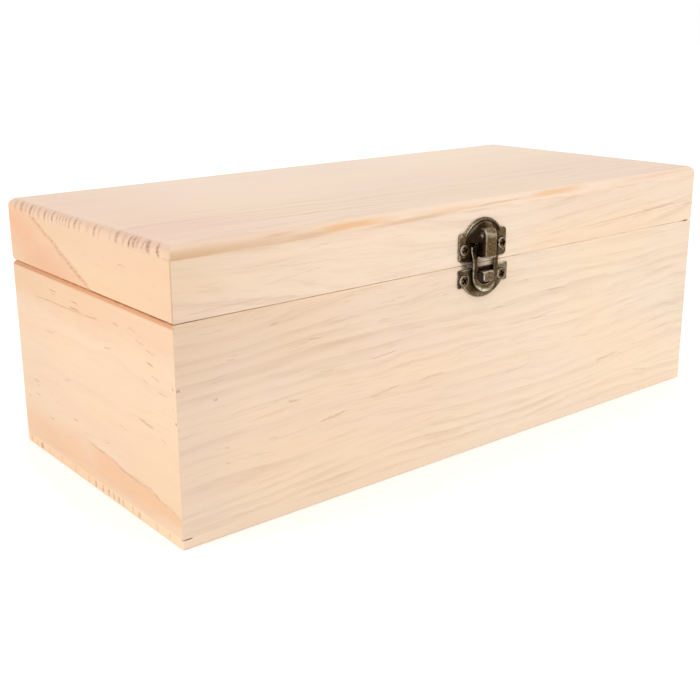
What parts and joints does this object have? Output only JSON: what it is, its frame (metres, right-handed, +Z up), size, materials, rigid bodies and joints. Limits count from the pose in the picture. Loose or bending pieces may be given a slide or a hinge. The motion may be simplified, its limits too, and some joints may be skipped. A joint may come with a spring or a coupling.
{
  "type": "wooden essential oil box",
  "caption": "Small pine box with a hinged lid, an antique bronze hasp latch on the front and a wooden divider grid for bottles inside.",
  "frame": {"origin": "centre of the underside of the base board, below the middle of the box walls", "axes": "+X along the box to the right seen from the latch side, +Y to the back where the hinges are, +Z up; the front face with the latch is -Y"},
  "size_m": [0.29, 0.137, 0.107],
  "materials": {
    "pine_walls": "unfinished sanded pine, matt, pale cream with fine brown growth lines",
    "pine_lid_rails": "unfinished sanded pine, matt, pale cream with fine brown growth lines",
    "pine_lid_board": "unfinished sanded pine, matt, pale cream with fine brown growth lines, end grain at the two ends",
    "pine_base": "unfinished sanded pine, matt, pale cream with fine brown growth lines",
    "pine_dividers": "unfinished thin pine strips, sanded",
    "latch_bronze": "pressed steel sheet with mottled antique bronze plating, worn bright along the edges",
    "latch_screw_bronze": "antique bronze plating, worn bright on the rims, dark in the cross recess",
    "hinge_bronze": "antique bronze plating",
    "hinge_pin_steel": "bare steel wire, dulled"
  },
  "bodies": {
    "box": {"back_wall": "pine_walls", "base_board": "pine_base", "cross_divider_1": "pine_dividers", "cross_divider_2": "pine_dividers", "cross_divider_3": "pine_dividers", "cross_divider_4": "pine_dividers", "cross_divider_5": "pine_dividers", "cross_divider_6": "pine_dividers", "cross_divider_7": "pine_dividers", "front_wall": "pine_walls", "latch_catch_plate": "latch_bronze", "latch_catch_screws": "latch_screw_bronze", "left_hinge_body_leaf": "hinge_bronze", "left_hinge_body_screws": "hinge_bronze", "left_hinge_pin": "hinge_pin_steel", "left_wall": "pine_walls", "long_divider_1": "pine_dividers", "long_divider_2": "pine_dividers", "right_hinge_body_leaf": "hinge_bronze", "right_hinge_body_screws": "hinge_bronze", "right_hinge_pin": "hinge_pin_steel", "right_wall": "pine_walls"},
    "lid": {"latch_lid_plate": "latch_bronze", "latch_lid_screws": "latch_screw_bronze", "left_hinge_lid_leaf": "hinge_bronze", "left_hinge_lid_screws": "hinge_bronze", "lid_back_rail": "pine_lid_rails", "lid_front_rail": "pine_lid_rails", "lid_left_rail": "pine_lid_rails", "lid_right_rail": "pine_lid_rails", "lid_top_board": "pine_lid_board", "right_hinge_lid_leaf": "hinge_bronze", "right_hinge_lid_screws": "hinge_bronze"},
    "hasp": {"latch_hasp": "latch_bronze"}
  },
  "joints": [
    {"name": "lid_hinge", "type": "hinge", "parent": "box", "child": "lid", "pos_m": [0, 0.06375, 0.081], "axis": [-1, 0, 0], "range_deg": [0, 100]},
    {"name": "hasp_pivot", "type": "hinge", "parent": "lid", "child": "hasp", "pos_m": [-0.001, -0.0675, 0.0884], "axis": [-1, 0, 0], "range_deg": [0, 110]}
  ]
}
